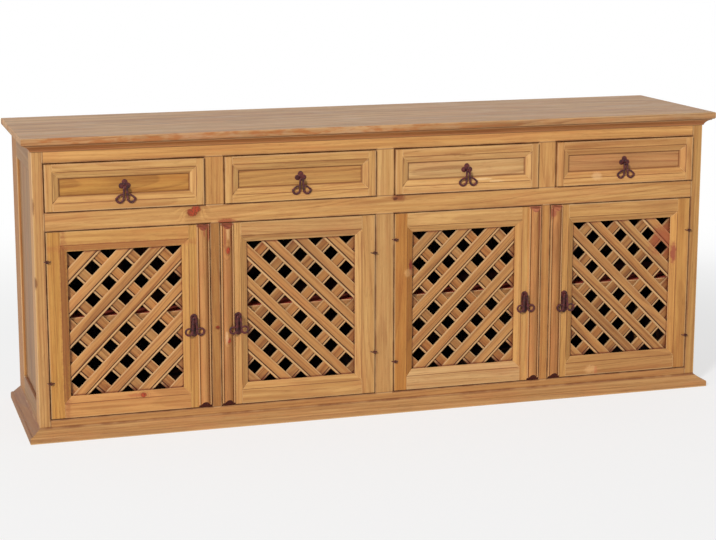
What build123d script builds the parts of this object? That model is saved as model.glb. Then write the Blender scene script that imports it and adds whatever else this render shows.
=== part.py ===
from build123d import *
import math
import os

os.makedirs("parts", exist_ok=True)

# A rustic pine sideboard: four drawers over four lattice doors, on a moulded plinth.
# Millimetres. X runs to the right along the front, Y to the back and Z up. The origin is on the
# floor, under the middle of the whole outline. A pair such as Z_DOORS is the low and the high end
# of a span along one axis.


def span(start, length):
    return (start, start + length)


def centred(middle, length):
    return (middle - length / 2, middle + length / 2)


def grown(pair, play):
    return (pair[0] - play, pair[1] + play)


def shrunk(pair, play):
    return (pair[0] + play, pair[1] - play)


# ---- Driving sizes ----------------------------------------------------------------------------

# Face frame, from one end to the other and from the floor up
POST_FACE = 30.0  # front width of a corner post
DRAWER_OPENING_W = 432.0
MUNTIN_W = 54.0  # uprights between drawers, and the post between the two pairs of doors
CENTRE_STILE_W = 27.0  # upright in the middle of a pair of doors
BOTTOM_RAIL_H = 55.0
DOOR_OPENING_H = 516.0
MID_RAIL_H = 51.0
DRAWER_OPENING_H = 131.0
TOP_RAIL_H = 50.0
FRAME_T = 24.0  # thickness of the face frame, and of the doors in it

# Carcass, front to back
CARCASS_D = 450.0
FRONT_POST_D = 60.0
REAR_POST_D = 110.0
SIDE_TOP_RAIL_H = 78.0
SIDE_BOTTOM_RAIL_H = 94.0
RAIL_T = 22.0  # side rails and back rails
SIDE_PANEL_SETBACK = 8.0
SIDE_PANEL_T = 10.0
GROOVE = 8.0  # how far a panel reaches into its frame
PANEL_PLAY = 0.5  # gap between a panel's edge and the bottom of its groove
BACK_T = 9.0
BACK_LIFT = 12.0  # back boards stop this far above the floor
BACK_BOARDS = 8

# Top and its hollow moulding
TOP_T = 20.0
TOP_FRONT = 27.0
TOP_SIDE = 28.0
TOP_REAR = 5.0
TOP_NOSE = 6.0  # lower round of the top's edge
TOP_ARRIS = 3.0  # upper round
COVE_H = 19.0
COVE_OUT = 20.5
COVE_EDGE = 2.5  # square fillet at both ends of the hollow
COVE_SAG = 3.5

# Plinth moulding
PLINTH_H = 34.0
PLINTH_OUT = 29.0
PLINTH_FACE_H = 13.0
PLINTH_ROUND = 5.0
PLINTH_LEDGE = 3.0

# Inside
FLOOR_T = 12.0
FLOOR_BOARDS = 3
PARTITION_T = 18.0
SHELF_ABOVE_MIDDLE = 14.0  # shelf top over the middle of the doors
SHELF_T = 18.0
SHELF_SETBACK = 6.0  # from the back of the face frame
CLEAT = 18.0
RUNNER_T = 18.0
RUNNER_LEDGE = 16.0  # what a runner offers to a drawer side
GUIDE_H = 35.0

# Panelled drawers
DRAWER_GAP = 2.0  # around the front
DRAWER_PROUD = 7.0  # how far the front stands out of the face frame
FRONT_T = 22.0
FRONT_STILE_FLAT = 21.0
FRONT_RAIL_FLAT = 22.0
FRONT_BEVEL_DEPTH = 8.0
FRONT_STEP = 3.0  # from the foot of the bevel back to the panel
FRONT_PANEL_T = 9.0
SLIDE_PLAY = 0.3  # drawer sides over their runners
BOX_D = 370.0
BOX_H = 110.0
BOX_SIDE_T = 12.0
BOX_BOTTOM_T = 6.0
BOX_BOTTOM_UP = 10.0
BOX_GROOVE = 5.0

# Lattice doors
DOOR_GAP = 2.0
BEVEL_W = 18.0  # sloped inner edge of door and drawer frames, seen from the front
DOOR_BEVEL_DEPTH = 9.0
DOOR_HINGE_FLAT = 38.0
DOOR_TOP_FLAT = 38.0
DOOR_BOTTOM_FLAT = 40.0
PULL_FLAT = 21.0  # flat of the closing stile, which takes the pull
SLAT_W = 32.0
SLAT_T = 6.0
SLAT_PITCH = 62.5  # square to the slats
SLAT_BEAD = 6.0  # bead along one edge of a slat
SLAT_QUIRK = 2.0  # depth and width of the groove beside the bead
SLAT_BEAD_SET = 0.7  # bead below the slat's face
REBATE = 8.0  # overlap of the slats behind the frame
LATTICE_DROP = 26.5  # lattice centre below the opening's middle
HALF_ROUND_W = 36.0
HALF_ROUND_H = 10.0
HALF_ROUND_EDGE = 5.0  # small bead along each side
HALF_ROUND_BASE = 2.5
HALF_ROUND_BEAD = 1.7  # rise of that bead over the base
HALF_ROUND_END = 16.0  # height of the sloped cut at each end

# Snipe hinges: linked eyes of flat iron strip, driven into the wood
EYE_R = 3.5  # middle of the strip
EYE_STRIP = 1.8
EYE_W = 2.0
EYE_PLAY = 0.5  # fixed eye in front of the face frame
EYE_SHANK = 20.0
FIXED_SHANK_TURN = 135.0  # degrees in plan, from the direction across the door
DOOR_SHANK_TURN = 45.0
# Height of the hinges of each door, set by eye: from its foot and from its top
HINGES_IN = {1: (100.0, 79.0), 2: (120.0, 107.0), 3: (87.0, 73.0), 4: (99.0, 95.0)}

# Drop pulls: plate, staple and a doubled bar curled into two rings
IRON_FLATS = 12  # round ironwork is hammered in flats: so many around an eye or a lobe
ARCH_FLATS = 4  # over each half of the bend at the top of a drop
CURL_FLATS = 18  # along each curl
PULL_PLATE_T = 2.0
PLATE_MARGIN = 1.0  # edge of a door plate to the end of the flat
PLATE_HEAD = 9.5  # top of a door plate above the pivot
PLATE_TAIL = 55.0  # foot of a door plate below the pivot
LOBE_R = 7.0  # trefoil plate of the drawers
LOBE_OUT = 8.0
TREFOIL_LIFT = 4.0  # trefoil centre above the pivot
TREFOIL_TAIL = 15.0
TREFOIL_TAIL_W = 4.0
BAR_W = 4.8
BAR_T = 3.6
RING_R = 11.0
RING_TURN = 290.0  # degrees of each curl
DRAWER_DROP = 44.0  # pivot to the lowest point of the rings
DOOR_DROP = 51.0
DRAWER_PIVOT_DOWN = 5.5  # pivot below the middle of the drawer
# Pivot of each door's pull below the middle of the door, set by eye
DOOR_PIVOT_DOWN = {1: 0.0, 2: 3.5, 3: 0.0, 4: 6.0}
STAPLE_W = 2.6
STAPLE_STRIP = 1.6
PULL_PLAY = 0.4
CLINCH = 8.0  # length of each bent end behind the wood

# ---- What follows from them -------------------------------------------------------------------

X_IN = 2 * DRAWER_OPENING_W + 1.5 * MUNTIN_W  # inner faces of the corner posts
X_OUT = X_IN + POST_FACE
DOOR_OPENING_W = (X_IN - MUNTIN_W / 2 - CENTRE_STILE_W) / 2

Z_BOTTOM_RAIL = (0.0, BOTTOM_RAIL_H)
Z_DOORS = span(Z_BOTTOM_RAIL[1], DOOR_OPENING_H)
Z_MID_RAIL = span(Z_DOORS[1], MID_RAIL_H)
Z_DRAWERS = span(Z_MID_RAIL[1], DRAWER_OPENING_H)
Z_TOP_RAIL = span(Z_DRAWERS[1], TOP_RAIL_H)
Z_CARCASS = (0.0, Z_TOP_RAIL[1])

FRONT_REACH = max(TOP_FRONT, PLINTH_OUT)
Y_FACE = FRONT_REACH - (FRONT_REACH + CARCASS_D + TOP_REAR) / 2
Y_BACK = Y_FACE + CARCASS_D
Y_FRAME = span(Y_FACE, FRAME_T)
Y_FRONT_POST = span(Y_FACE, FRONT_POST_D)
Y_REAR_POST = (Y_BACK - REAR_POST_D, Y_BACK)
Y_BACK_BOARDS = (Y_BACK - BACK_T, Y_BACK)
Y_BACK_RAILS = (Y_BACK_BOARDS[0] - RAIL_T, Y_BACK_BOARDS[0])
Y_INSIDE = (Y_FRAME[1], Y_BACK_RAILS[0])

Y_DRAWER_FRONT = span(Y_FACE - DRAWER_PROUD, FRONT_T)
Y_DRAWER_PANEL = span(Y_DRAWER_FRONT[0] + FRONT_BEVEL_DEPTH + FRONT_STEP, FRONT_PANEL_T)
Y_DRAWER_BOX = span(Y_DRAWER_FRONT[1], BOX_D)
Z_DRAWER_FRONT = shrunk(Z_DRAWERS, DRAWER_GAP)
Z_BOX = span(Z_DRAWERS[0] + SLIDE_PLAY, BOX_H)
Z_BOX_BOTTOM = span(Z_BOX[0] + BOX_BOTTOM_UP, BOX_BOTTOM_T)
SHELF_TOP = (Z_DOORS[0] + Z_DOORS[1]) / 2 + SHELF_ABOVE_MIDDLE

U_DOOR = (DOOR_GAP, DOOR_OPENING_W - DOOR_GAP)  # across a door, from the hinge side
Z_DOOR = shrunk(Z_DOORS, DOOR_GAP)
DOOR_CLOSING_FLAT = PULL_FLAT + HALF_ROUND_W
SLATS_BEHIND_FACE = FRAME_T - 2 * SLAT_T
U_SIGHT = (U_DOOR[0] + DOOR_HINGE_FLAT + BEVEL_W, U_DOOR[1] - DOOR_CLOSING_FLAT - BEVEL_W)
Z_SIGHT = (Z_DOOR[0] + DOOR_BOTTOM_FLAT + BEVEL_W, Z_DOOR[1] - DOOR_TOP_FLAT - BEVEL_W)

EYE_OUTER = EYE_R + EYE_STRIP / 2
EYE_INNER = EYE_R - EYE_STRIP / 2
U_AXIS = DOOR_GAP / 2
Y_AXIS = Y_FACE - EYE_OUTER - EYE_PLAY
HINGE_HEIGHTS = {n: (Z_DOOR[0] + foot, Z_DOOR[1] - top) for n, (foot, top) in HINGES_IN.items()}
DOOR_PIVOT_HEIGHTS = {n: sum(Z_DOORS) / 2 - down for n, down in DOOR_PIVOT_DOWN.items()}

BEND_IN = STAPLE_W / 2 + PULL_PLAY  # inner radius of the bend at the top of a drop
BEND_OUT = BEND_IN + BAR_W
STRAND_X = BEND_IN + BAR_W / 2  # middle of each strand of a drop
BEND_DEPTH = STRAND_X - math.sqrt(BEND_IN**2 - (STAPLE_W / 2) ** 2)  # below the pivot, in the eye
EYE_HOLE = math.hypot(BEND_DEPTH, BAR_T / 2) + PULL_PLAY  # inner radius of a staple's eye
STAPLE_OUTER = EYE_HOLE + STAPLE_STRIP
U_PULL = U_DOOR[1] - HALF_ROUND_W - PULL_FLAT / 2
Z_DRAWER_PIVOT = (Z_DRAWERS[0] + Z_DRAWERS[1]) / 2 - DRAWER_PIVOT_DOWN
Y_DOOR_PIVOT = Y_FACE - HALF_ROUND_H - PULL_PLAY - BAR_T / 2
Y_DRAWER_PIVOT = Y_DRAWER_FRONT[0] - PULL_PLAY - BAR_T / 2

SIDES = (-1, 1)
BAYS = range(1, 5)  # drawers and doors, from the left
CORNER = (Align.MIN, Align.MIN, Align.MIN)


# ---- Building blocks --------------------------------------------------------------------------


def board(x, y, z):
    """A square-edged board that fills the spans x, y and z."""
    lengths = [high - low for low, high in (x, y, z)]
    return Pos(x[0], y[0], z[0]) * Box(*lengths, align=CORNER)


def outline(*points):
    return make_face(Polyline(*points, close=True))


def prism(face, y):
    """A face drawn in X and Z, given a thickness over the span y."""
    return extrude(Plane((0, y[1], 0), x_dir=(1, 0, 0), z_dir=(0, -1, 0)) * face, y[1] - y[0])


def stick(section, start, across, length):
    """A section run in a straight line: its X lies along across, its Y to the back."""
    run = Vector(*across).cross(Vector(0, 1, 0))
    return extrude(Plane(start, x_dir=across, z_dir=run) * section, length)


def mirrored(solid):
    return mirror(solid, about=Plane.YZ)


def both_ends(left):
    """A piece of the left end and its twin on the right."""
    return [left, mirrored(left)]


def write(node, solids):
    export_step(Compound(children=solids), f"parts/{node}.step")


def muntin_middle(n):
    """Middle of the upright to the right of drawer n."""
    return (n - 2) * (DRAWER_OPENING_W + MUNTIN_W)


def drawer_opening(n):
    return span(muntin_middle(n) - MUNTIN_W / 2 - DRAWER_OPENING_W, DRAWER_OPENING_W)


def centre_stile_middle(side):
    return side * (MUNTIN_W / 2 + DOOR_OPENING_W + CENTRE_STILE_W / 2)


def at_door(solid, n):
    """Moves a piece from the door's own frame, where X counts from the hinge edge, to door n.

    Doors 1 and 3 hang on their left edge. Doors 2 and 4 are mirror images of them.
    """
    hinge_edges = {1: -X_IN, 2: -MUNTIN_W / 2, 3: MUNTIN_W / 2, 4: X_IN}
    handed = mirrored(solid) if n in (2, 4) else solid
    return Pos(hinge_edges[n], 0, 0) * handed


# ---- Mouldings --------------------------------------------------------------------------------


def mitred_moulding(section, reach, bottom):
    """Three sticks around the front and both ends of the carcass, mitred at the front corners.

    The section is drawn with X outward and Y up from the level bottom.
    """
    half = extrude(Plane((0, Y_FACE, bottom), x_dir=(0, -1, 0), z_dir=(-1, 0, 0)) * section, X_OUT + reach)
    plan = outline((-X_OUT, 0), (X_OUT, 0), (X_OUT + reach, -reach), (-X_OUT - reach, -reach))
    front_zone = Pos(0, Y_FACE, 0) * extrude(plan, Z_CARCASS[1])
    start = (-X_OUT, Y_FACE - reach, bottom)
    end = extrude(Plane(start, x_dir=(-1, 0, 0), z_dir=(0, 1, 0)) * section, CARCASS_D + reach)
    front = (half + mirrored(half)) & front_zone
    return [front] + both_ends(end - front_zone)


def cove_section():
    """Hollow between two square fillets, under the top board."""
    low = (COVE_EDGE, 0)
    high = (COVE_OUT, COVE_H - COVE_EDGE)
    hollow = SagittaArc(high, low, -COVE_SAG)
    edge = Polyline(low, (0, 0), (0, COVE_H), (COVE_OUT, COVE_H), high)
    return make_face(hollow + edge)


def plinth_section():
    """Straight face, quarter round, ledge and a slope back to the carcass."""
    shoulder = PLINTH_FACE_H + PLINTH_ROUND
    ledge = PLINTH_OUT - PLINTH_ROUND
    face = Polyline((0, PLINTH_H), (0, 0), (PLINTH_OUT, 0), (PLINTH_OUT, PLINTH_FACE_H))
    quarter = RadiusArc((PLINTH_OUT, PLINTH_FACE_H), (ledge, shoulder), -PLINTH_ROUND)
    slope = Polyline((ledge, shoulder), (ledge - PLINTH_LEDGE, shoulder), (0, PLINTH_H))
    return make_face(face + quarter + slope)


def top_board():
    """One wide board with a rounded nose on the front and the ends and a square back edge."""
    x = (-X_OUT - TOP_SIDE, X_OUT + TOP_SIDE)
    z = span(Z_CARCASS[1], TOP_T)
    slab = board(x, (Y_FACE - TOP_FRONT, Y_BACK + TOP_REAR), z)
    for height, radius in ((z[0], TOP_NOSE), (z[1], TOP_ARRIS)):
        rim = slab.edges().filter_by_position(Axis.Z, height, height)
        slab = fillet(rim.sort_by(Axis.Y)[:-1], radius)
    return slab


# ---- Carcass ----------------------------------------------------------------------------------


def left_side():
    """The left end: two posts and two rails grooved for a recessed panel."""
    x_post = (-X_OUT, -X_IN)
    x_rail = span(-X_OUT, RAIL_T)
    x_panel = span(-X_OUT + SIDE_PANEL_SETBACK, SIDE_PANEL_T)
    y_between = (Y_FRONT_POST[1], Y_REAR_POST[0])
    z_between = (SIDE_BOTTOM_RAIL_H, Z_CARCASS[1] - SIDE_TOP_RAIL_H)
    room = board(x_panel, grown(y_between, GROOVE), grown(z_between, GROOVE))
    panel = board(x_panel, grown(y_between, GROOVE - PANEL_PLAY), grown(z_between, GROOVE - PANEL_PLAY))
    posts = [board(x_post, y, Z_CARCASS) - room for y in (Y_FRONT_POST, Y_REAR_POST)]
    rails = [
        board(x_rail, y_between, z) - room
        for z in ((0.0, z_between[0]), (z_between[1], Z_CARCASS[1]))
    ]
    return posts, rails, panel


def face_rails():
    return [board((-X_IN, X_IN), Y_FRAME, z) for z in (Z_BOTTOM_RAIL, Z_MID_RAIL, Z_TOP_RAIL)]


def drawer_muntins():
    return [board(centred(muntin_middle(n), MUNTIN_W), Y_FRAME, Z_DRAWERS) for n in BAYS[:-1]]


def back_rails_and_boards():
    """Planks nailed to three rails between the rear posts."""
    rails = [board((-X_IN, X_IN), Y_BACK_RAILS, z) for z in (Z_BOTTOM_RAIL, Z_MID_RAIL, Z_TOP_RAIL)]
    width = 2 * X_IN / BACK_BOARDS
    planks = [
        board(span(-X_IN + i * width, width), Y_BACK_BOARDS, (BACK_LIFT, Z_CARCASS[1]))
        for i in range(BACK_BOARDS)
    ]
    return rails + planks


def floor_boards():
    width = (Y_INSIDE[1] - Y_INSIDE[0]) / FLOOR_BOARDS
    z = (BOTTOM_RAIL_H - FLOOR_T, BOTTOM_RAIL_H)
    return [board((-X_IN, X_IN), span(Y_INSIDE[0] + i * width, width), z) for i in range(FLOOR_BOARDS)]


def partition():
    return board(centred(0, PARTITION_T), (Y_FRAME[1], Y_BACK_BOARDS[0]), Z_DOORS)


def shelf_and_cleats():
    """The left shelf and the cleats it rests on, one on the posts and one on the partition."""
    x = (-X_IN, -PARTITION_T / 2)
    y = (Y_FRAME[1] + SHELF_SETBACK, Y_BACK_BOARDS[0])
    z_cleat = (SHELF_TOP - SHELF_T - CLEAT, SHELF_TOP - SHELF_T)
    shelf = board(x, y, (SHELF_TOP - SHELF_T, SHELF_TOP))
    cleats = [board(span(start, CLEAT), y, z_cleat) for start in (x[0], x[1] - CLEAT)]
    return shelf, cleats


def drawer_runners():
    """Ledges that carry the drawer sides, and the guides that stand on them between drawers."""
    z_ledge = (Z_MID_RAIL[1] - RUNNER_T, Z_MID_RAIL[1])
    ledges = both_ends(board(span(-X_IN, RUNNER_LEDGE), Y_INSIDE, z_ledge))
    guides = []
    for n in BAYS[:-1]:
        x_guide = centred(muntin_middle(n), MUNTIN_W)
        ledges.append(board(grown(x_guide, RUNNER_LEDGE), Y_INSIDE, z_ledge))
        guides.append(board(x_guide, Y_INSIDE, span(Z_MID_RAIL[1], GUIDE_H)))
    return ledges + guides


# ---- Bevelled frames of doors and drawers -----------------------------------------------------


def bevelled_frame(x, front, z, flats, section):
    """Two full-height stiles and two rails, with the inner bevel mitred at each corner.

    flats gives the flat widths of the left, right, bottom and top members, and section draws a
    member's cross-section for a flat width, from its outer edge inward and from its face back.
    """
    left, right, bottom, top = flats
    (x0, x1), (z0, z1) = x, z
    a, b, c, d = x0 + left, x1 - right, z0 + bottom, z1 - top
    low_left, low_right = (a + BEVEL_W, c + BEVEL_W), (b - BEVEL_W, c + BEVEL_W)
    high_left, high_right = (a + BEVEL_W, d - BEVEL_W), (b - BEVEL_W, d - BEVEL_W)
    plans = {
        "left": ((x0, z0), (a, z0), (a, c), low_left, high_left, (a, d), (a, z1), (x0, z1)),
        "right": ((x1, z1), (b, z1), (b, d), high_right, low_right, (b, c), (b, z0), (x1, z0)),
        "bottom": ((a, z0), (b, z0), (b, c), low_right, low_left, (a, c)),
        "top": ((b, z1), (a, z1), (a, d), high_left, high_right, (b, d)),
    }
    sticks = {
        "left": stick(section(left), (x0, front, z0), (1, 0, 0), z1 - z0),
        "right": stick(section(right), (x1, front, z1), (-1, 0, 0), z1 - z0),
        "bottom": stick(section(bottom), (x1, front, z0), (0, 0, 1), x1 - x0),
        "top": stick(section(top), (x0, front, z1), (0, 0, -1), x1 - x0),
    }
    depth = span(front, max(FRONT_T, FRAME_T))
    return {side: sticks[side] & prism(outline(*plans[side]), depth) for side in sticks}


def drawer_member(flat):
    """Cross-section of a drawer-front member: bevel, step and the groove for the panel."""
    inner = flat + BEVEL_W
    panel = FRONT_BEVEL_DEPTH + FRONT_STEP
    return outline(
        (0, 0), (flat, 0), (inner, FRONT_BEVEL_DEPTH), (inner, panel), (inner - GROOVE, panel),
        (inner - GROOVE, panel + FRONT_PANEL_T), (inner, panel + FRONT_PANEL_T), (inner, FRONT_T),
        (0, FRONT_T),
    )


def door_member(flat):
    """Cross-section of a door member: bevel, thin lip and the rebate for the lattice."""
    inner = flat + BEVEL_W
    return outline(
        (0, 0), (flat, 0), (inner, DOOR_BEVEL_DEPTH), (inner, SLATS_BEHIND_FACE),
        (inner - REBATE, SLATS_BEHIND_FACE), (inner - REBATE, FRAME_T), (0, FRAME_T),
    )


# ---- Pulls ------------------------------------------------------------------------------------


def hammered(centre, radius, start, turn, flats):
    """Corners of a round stretch made in flats, from the angle start on by turn degrees."""
    angles = [math.radians(start + turn * i / flats) for i in range(flats + 1)]
    return [(centre[0] + radius * math.cos(a), centre[1] + radius * math.sin(a)) for a in angles]


def disc(radius):
    """A round in flats, with its corners at the radius."""
    return RegularPolygon(radius, IRON_FLATS)


def staple_hole(x, z, y):
    return board(centred(x, STAPLE_W), y, centred(z, 2 * STAPLE_STRIP))


def staple(x, pivot, z, wood_back):
    """A strip bent into an eye, driven through the wood and clinched up and down behind it."""
    depth = wood_back - pivot
    legs = outline(
        (0, -STAPLE_STRIP), (0, STAPLE_STRIP), (depth, STAPLE_STRIP), (depth, CLINCH),
        (depth + STAPLE_STRIP, CLINCH), (depth + STAPLE_STRIP, -CLINCH), (depth, -CLINCH),
        (depth, -STAPLE_STRIP),
    )
    profile = disc(STAPLE_OUTER) + legs - Circle(EYE_HOLE)
    side_plane = Plane((x - STAPLE_W / 2, pivot, z), x_dir=(0, 1, 0), z_dir=(1, 0, 0))
    return extrude(side_plane * profile, STAPLE_W)


def trefoil(x, z):
    """Outline of a drawer plate: three lobes over a narrow tail."""
    centre = z + TREFOIL_LIFT
    foot = z - TREFOIL_TAIL
    tail = centred(x, TREFOIL_TAIL_W)
    face = outline((x - LOBE_R, centre), (x + LOBE_R, centre), (tail[1], foot), (tail[0], foot))
    for lobe in ((x - LOBE_OUT, centre), (x + LOBE_OUT, centre), (x, centre + LOBE_OUT)):
        face += Pos(*lobe) * disc(LOBE_R)
    return face


def leaf(x, z):
    """Outline of a door plate: a long leaf as wide as the flat of the stile allows."""
    radius = PULL_FLAT / 2 - PLATE_MARGIN
    top, foot = z + PLATE_HEAD - radius, z - PLATE_TAIL + radius
    return outline(
        *hammered((x, top), radius, 0, 180, IRON_FLATS // 2),
        *hammered((x, foot), radius, 180, 180, IRON_FLATS // 2),
    )


def pull_mount(face, x, wood, pivot, z):
    """The plate on the wood and the staple through both. wood is the span of the wood along Y."""
    plate = prism(face, (wood[0] - PULL_PLATE_T, wood[0]))
    hole = staple_hole(x, z, (wood[0] - PULL_PLATE_T, wood[1]))
    return [plate - hole, staple(x, pivot, z, wood[1])]


def drop(x, pivot, z, length):
    """A flat bar doubled over its staple, hanging in two strands that curl out into rings."""
    ring = (STRAND_X + RING_R, -length + RING_R + BAR_W / 2)
    bend = (0, -STRAND_X)
    half = outline(
        *hammered(bend, BEND_OUT, 90, -90, ARCH_FLATS),
        *hammered(ring, RING_R - BAR_W / 2, 180, RING_TURN, CURL_FLATS),
        *hammered(ring, RING_R + BAR_W / 2, 180 + RING_TURN, -RING_TURN, CURL_FLATS),
        *hammered(bend, BEND_IN, 0, 90, ARCH_FLATS),
    )
    right = prism(half, centred(0, BAR_T))
    return Pos(x, pivot, z) * (right + mirrored(right))


# ---- Drawers ----------------------------------------------------------------------------------


def drawer_front(n):
    """The bevelled frame and the panel in its groove, drilled for the pull's staple."""
    x = shrunk(drawer_opening(n), DRAWER_GAP)
    flats = (FRONT_STILE_FLAT, FRONT_STILE_FLAT, FRONT_RAIL_FLAT, FRONT_RAIL_FLAT)
    frame = bevelled_frame(x, Y_DRAWER_FRONT[0], Z_DRAWER_FRONT, flats, drawer_member)
    reach = BEVEL_W - GROOVE + PANEL_PLAY
    panel = board(
        shrunk(x, FRONT_STILE_FLAT + reach), Y_DRAWER_PANEL,
        shrunk(Z_DRAWER_FRONT, FRONT_RAIL_FLAT + reach),
    )
    middle = sum(x) / 2
    return list(frame.values()), panel - staple_hole(middle, Z_DRAWER_PIVOT, Y_DRAWER_PANEL)


def drawer_box(n):
    """Two grooved sides, a bottom in the grooves and a back that stands on it."""
    x = shrunk(drawer_opening(n), DRAWER_GAP)
    inside = shrunk(x, BOX_SIDE_T)
    room = board(grown(inside, BOX_GROOVE), Y_DRAWER_BOX, Z_BOX_BOTTOM)
    bottom = board(grown(inside, BOX_GROOVE - PANEL_PLAY), Y_DRAWER_BOX, Z_BOX_BOTTOM)
    sides = [board(s, Y_DRAWER_BOX, Z_BOX) - room for s in ((x[0], inside[0]), (inside[1], x[1]))]
    y_back = (Y_DRAWER_BOX[1] - BOX_SIDE_T, Y_DRAWER_BOX[1])
    back = board(inside, y_back, (Z_BOX_BOTTOM[1], Z_BOX[1]))
    return sides + [bottom, back]


def make_drawer(n):
    middle = sum(drawer_opening(n)) / 2
    frame, panel = drawer_front(n)
    plate = trefoil(middle, Z_DRAWER_PIVOT)
    write(f"drawer_{n}_front_frame", frame)
    write(f"drawer_{n}_front_panel", [panel])
    write(f"drawer_{n}_box", drawer_box(n))
    write(f"drawer_{n}_pull_plate",
          pull_mount(plate, middle, Y_DRAWER_PANEL, Y_DRAWER_PIVOT, Z_DRAWER_PIVOT))
    write(f"drawer_{n}_pull_drop", [drop(middle, Y_DRAWER_PIVOT, Z_DRAWER_PIVOT, DRAWER_DROP)])


# ---- Doors, in their own frame ----------------------------------------------------------------


def shank(place, turn):
    """A straight iron leg that leaves its place at a turn in plan and ends in the wood."""
    leg = Box(EYE_SHANK, EYE_W, EYE_W, align=(Align.MIN, Align.CENTER, Align.CENTER))
    return place * Rot(0, 0, turn) * leg


def fixed_shank(z):
    angle = math.radians(FIXED_SHANK_TURN)
    start = Pos(U_AXIS + EYE_R * math.cos(angle), Y_AXIS + EYE_R * math.sin(angle), z)
    return shank(start, FIXED_SHANK_TURN)


def door_shank(z):
    return shank(Pos(U_AXIS + 2 * EYE_R, Y_AXIS, z), DOOR_SHANK_TURN)


def eye_ring(hole):
    return extrude(disc(EYE_OUTER) - hole, EYE_W / 2, both=True)


def fixed_eye(z):
    """Flat eye around the hinge axis, on a shank into the post."""
    return Pos(U_AXIS, Y_AXIS, z) * eye_ring(Circle(EYE_INNER)) + fixed_shank(z)


def door_eye(z):
    """Upright eye linked through the fixed one, on a shank into the door."""
    ring = Rot(90, 0, 0) * eye_ring(disc(EYE_INNER))
    return Pos(U_AXIS + EYE_R, Y_AXIS, z) * ring + door_shank(z)


def slat_section():
    """A flat slat with a quirk and a bead along one edge, from its face back."""
    quirk = SLAT_W - SLAT_BEAD
    return outline(
        (0, 0), (quirk - SLAT_QUIRK, 0), (quirk - SLAT_QUIRK / 2, SLAT_QUIRK), (quirk, SLAT_BEAD_SET),
        (SLAT_W - SLAT_QUIRK, SLAT_BEAD_SET), (SLAT_W, SLAT_QUIRK), (SLAT_W, SLAT_T), (0, SLAT_T),
    )


def slat_layer(front, lean):
    """Parallel slats at 45 degrees that fill the rebate. They rise to the right when lean is 1."""
    across = Vector(lean, 0, -1).normalized()
    run = across.cross(Vector(0, 1, 0))
    u, z = grown(U_SIGHT, REBATE), grown(Z_SIGHT, REBATE)
    field = board(u, span(front, SLAT_T), z)
    hole = Vector(sum(U_SIGHT) / 2, front, sum(Z_SIGHT) / 2 - LATTICE_DROP)
    middle = Vector(sum(u) / 2, front, sum(z) / 2)
    reach = (u[1] - u[0] + z[1] - z[0]) / math.sqrt(8)
    shift = (hole - middle).dot(across) + SLAT_PITCH / 2
    first = math.ceil((-reach - shift) / SLAT_PITCH)
    last = math.floor((reach - shift) / SLAT_PITCH)
    length = 2 * reach
    slats = []
    for i in range(first, last + 1):
        start = middle + across * (shift + i * SLAT_PITCH - SLAT_W / 2) - run * reach
        slats.append(stick(slat_section(), tuple(start), tuple(across), length) & field)
    return slats


def half_round(u, z):
    """Planted moulding: a wide half round between two small beads, sloped off at both ends."""
    e, w, h = HALF_ROUND_EDGE, HALF_ROUND_W, HALF_ROUND_BASE
    bead = h + HALF_ROUND_BEAD
    base = Polyline((w, -h), (w, 0), (0, 0), (0, -h))
    section = make_face(
        base + ThreePointArc((0, -h), (e / 2, -bead), (e, -h))
        + ThreePointArc((e, -h), (w / 2, -HALF_ROUND_H), (w - e, -h))
        + ThreePointArc((w - e, -h), (w - e / 2, -bead), (w, -h))
    )
    bar = extrude(Pos(u, Y_FACE, z[0]) * section, z[1] - z[0])
    out = Y_FACE - HALF_ROUND_H
    slopes = outline((Y_FACE, z[0]), (Y_FACE, z[1]), (out, z[1] - HALF_ROUND_END),
                     (out, z[0] + HALF_ROUND_END))
    return bar & extrude(Plane((u, 0, 0), x_dir=(0, 1, 0), z_dir=(1, 0, 0)) * slopes, w)


def door_pieces(n):
    """Every fixed piece of door n as if hung on the left, by node name."""
    flats = (DOOR_HINGE_FLAT, DOOR_CLOSING_FLAT, DOOR_BOTTOM_FLAT, DOOR_TOP_FLAT)
    frame = bevelled_frame(U_DOOR, Y_FACE, Z_DOOR, flats, door_member)
    pivot = DOOR_PIVOT_HEIGHTS[n]
    frame["right"] -= staple_hole(U_PULL, pivot, Y_FRAME)
    for height in HINGE_HEIGHTS[n]:
        frame["left"] -= door_shank(height)
    front = Y_FACE + SLATS_BEHIND_FACE
    return {
        "frame": list(frame.values()),
        "lattice": slat_layer(front, 1) + slat_layer(front + SLAT_T, -1),
        "half_round": [half_round(U_DOOR[1] - HALF_ROUND_W, Z_DOOR)],
        "hinge_eyes": [door_eye(height) for height in HINGE_HEIGHTS[n]],
        "pull_plate": pull_mount(leaf(U_PULL, pivot), U_PULL, Y_FRAME, Y_DOOR_PIVOT, pivot),
        "pull_drop": [drop(U_PULL, Y_DOOR_PIVOT, pivot, DOOR_DROP)],
    }


# ---- Assembly ---------------------------------------------------------------------------------


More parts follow.
